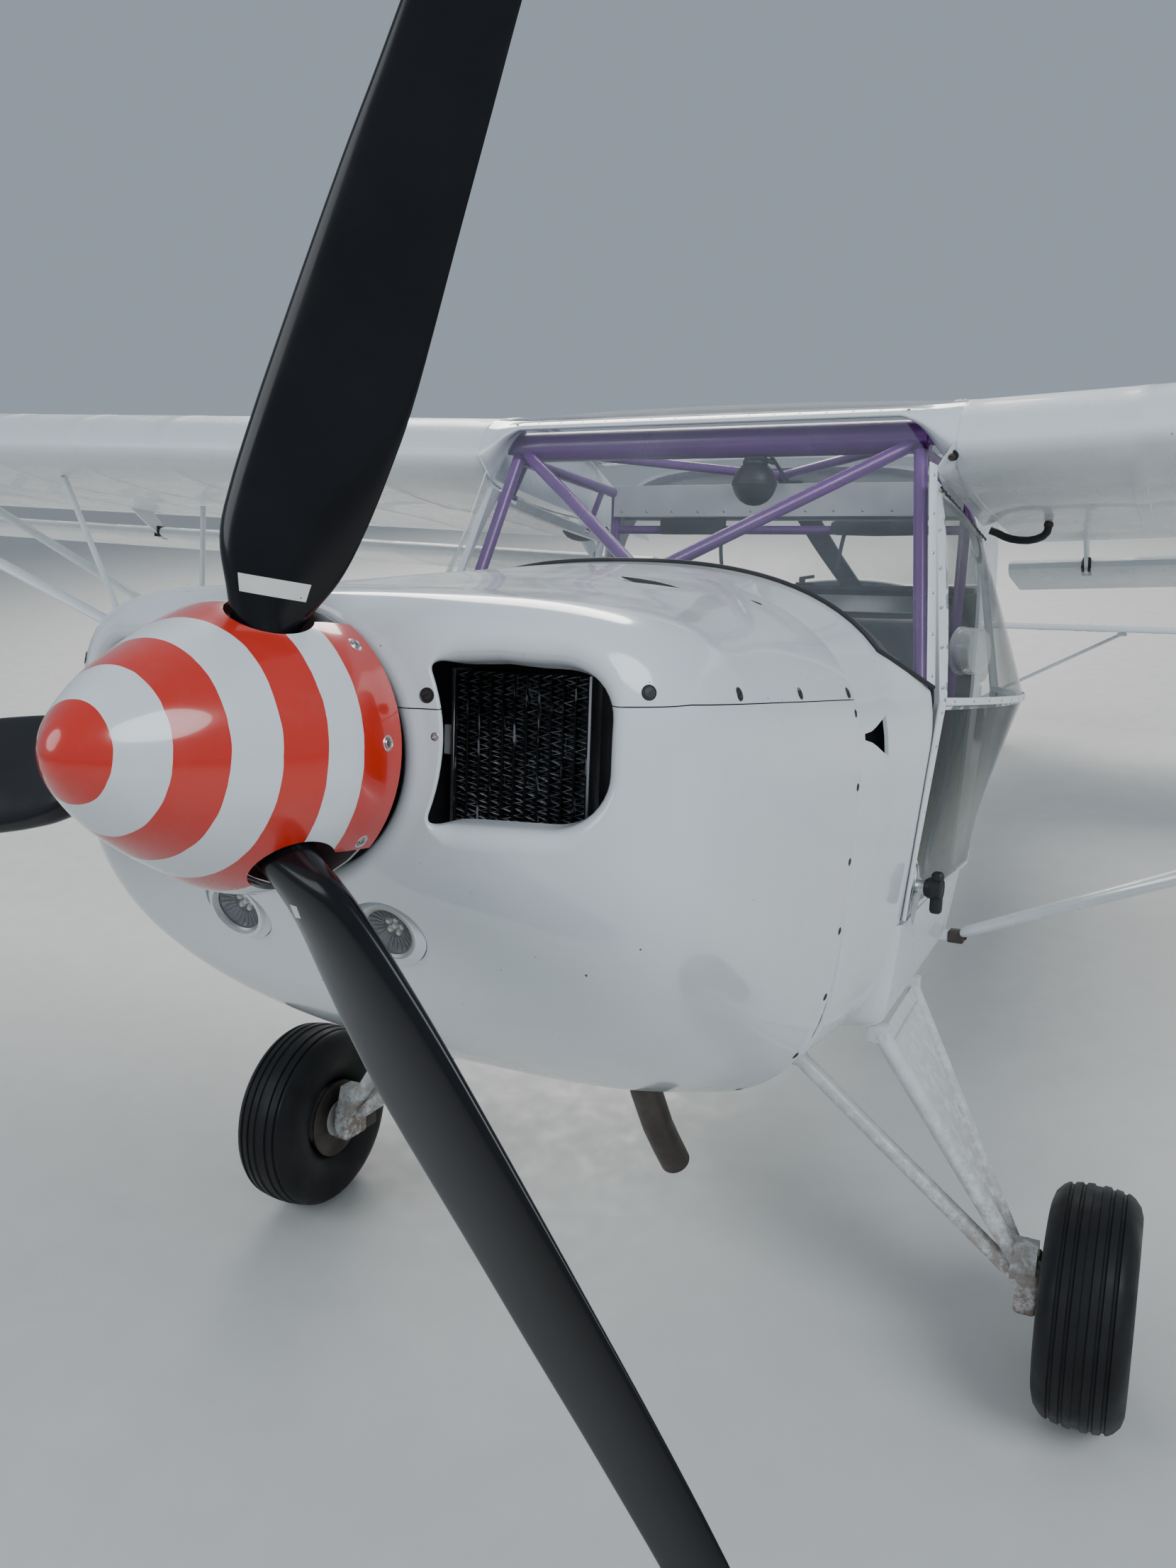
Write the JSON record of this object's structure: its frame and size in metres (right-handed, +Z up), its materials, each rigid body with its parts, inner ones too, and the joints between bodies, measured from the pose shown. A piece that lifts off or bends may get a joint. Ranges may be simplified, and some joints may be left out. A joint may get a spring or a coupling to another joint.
{
  "type": "light aircraft",
  "caption": "High-wing light aircraft with strut-braced wings, striped spinner, bulged clear doors and a tailwheel; it stands on its wheels",
  "frame": {"origin": "middle of the bounding box, on the ground under the wheels", "axes": "+X towards the left wing tip, +Y towards the tail, +Z up; the nose points along -Y and is raised as it stands on its tailwheel"},
  "size_m": [9.76, 5.5436, 2.2611],
  "materials": {
    "white_paint": "glossy white paint",
    "red_white_spinner": "glossy composite with red and white rings",
    "black_blade": "glossy black composite",
    "tyre": "black rubber",
    "rubber": "black hose",
    "bare_alloy": "riveted bare sheet and castings",
    "steel": "bare and heat-stained steel",
    "purple_tube": "purple paint on welded tube",
    "dark_cloth": "dark upholstery",
    "black_plastic": "matt black",
    "clear_sheet": "clear sheet, slightly smoky"
  },
  "bodies": {
    "airframe": {"cowl_upper": "white_paint", "cowl_lower": "white_paint", "landing_light_left": "bare_alloy", "landing_light_right": "bare_alloy", "engine": "steel", "radiator_left": "black_plastic", "radiator_right": "black_plastic", "exhaust_pipe": "steel", "boot_cowl": "white_paint", "windscreen": "clear_sheet", "roof_leading_edge": "white_paint", "roof_glass": "clear_sheet", "cabin_frame": "purple_tube", "instrument_panel": "black_plastic", "seat_left": "dark_cloth", "seat_right": "dark_cloth", "control_sticks": "black_plastic", "compass": "black_plastic", "cabin_tub": "white_paint", "fuselage_rear": "white_paint", "rear_roof_panel": "white_paint", "rear_window": "clear_sheet", "parcel_shelf": "white_paint", "fin": "white_paint", "tailplane": "white_paint", "tail_braces": "white_paint", "tail_spring": "steel", "wing_left": "white_paint", "wing_right": "white_paint", "lift_struts_left": "white_paint", "lift_struts_right": "white_paint", "gear_leg_left": "white_paint", "gear_leg_right": "white_paint", "shock_struts": "white_paint", "fuel_hose_left": "rubber", "fuel_hose_right": "rubber"},
    "propeller": {"spinner": "red_white_spinner", "propeller_hub": "bare_alloy", "blade_1": "black_blade", "blade_2": "black_blade", "blade_3": "black_blade"},
    "wheel_left": {"tyre_left": "tyre", "rim_left": "bare_alloy"},
    "wheel_right": {"tyre_right": "tyre", "rim_right": "bare_alloy"},
    "steered_fork": {"tail_fork": "bare_alloy"},
    "tail_wheel_body": {"tail_wheel": "tyre"},
    "rudder_body": {"rudder": "white_paint"},
    "elevator_body": {"elevator": "white_paint"},
    "flap_left": {"flaperon_left": "white_paint"},
    "flap_right": {"flaperon_right": "white_paint"},
    "door_left": {"door_frame_left": "bare_alloy", "door_window_left": "clear_sheet", "door_pane_left": "clear_sheet"},
    "door_right": {"door_frame_right": "bare_alloy", "door_window_right": "clear_sheet", "door_pane_right": "clear_sheet"}
  },
  "joints": [
    {"name": "propeller_spin", "type": "hinge", "parent": "airframe", "child": "propeller", "pos_m": [-0.0025, -2.47476, 1.38919], "axis": [0.007, 0.9677, -0.2521], "continuous": true},
    {"name": "wheel_left_roll", "type": "hinge", "parent": "airframe", "child": "wheel_left", "pos_m": [0.818, -1.58412, 0.19924], "axis": [1, 0, 0], "continuous": true},
    {"name": "wheel_right_roll", "type": "hinge", "parent": "airframe", "child": "wheel_right", "pos_m": [-0.818, -1.58412, 0.19924], "axis": [1, 0, 0], "continuous": true},
    {"name": "tail_steer", "type": "hinge", "parent": "airframe", "child": "steered_fork", "pos_m": [0, 2.39926, 0.20106], "axis": [0, 0, 1], "range_deg": [-25, 25]},
    {"name": "tail_wheel_roll", "type": "hinge", "parent": "steered_fork", "child": "tail_wheel_body", "pos_m": [0, 2.45726, 0.07506], "axis": [1, 0, 0], "continuous": true},
    {"name": "rudder_turn", "type": "hinge", "parent": "airframe", "child": "rudder_body", "pos_m": [0, 2.26822, 0.37983], "axis": [0, 0.1994, 0.9799], "range_deg": [-25, 25]},
    {"name": "elevator_tilt", "type": "hinge", "parent": "airframe", "child": "elevator_body", "pos_m": [0, 2.16798, 0.60942], "axis": [1, 0, 0], "range_deg": [-20, 25]},
    {"name": "flaperon_left_droop", "type": "hinge", "parent": "airframe", "child": "flap_left", "pos_m": [0.48, -0.32822, 1.25097], "axis": [0.999, 0.0087, 0.0427], "range_deg": [-15, 20]},
    {"name": "flaperon_right_droop", "type": "hinge", "parent": "airframe", "child": "flap_right", "pos_m": [-0.48, -0.32822, 1.25097], "axis": [0.999, -0.0087, -0.0427], "range_deg": [-15, 20]},
    {"name": "door_left_open", "type": "hinge", "parent": "airframe", "child": "door_left", "pos_m": [0.446, -1.2145, 1.53945], "axis": [-0.0037, -0.956, 0.2933], "range_deg": [0, 62]},
    {"name": "door_right_open", "type": "hinge", "parent": "airframe", "child": "door_right", "pos_m": [-0.446, -1.2145, 1.53945], "axis": [-0.0037, 0.956, -0.2933], "range_deg": [0, 62]}
  ],
  "couplings": [
    {"joint": "tail_steer", "follows": "rudder_turn", "ratio": 1}
  ]
}
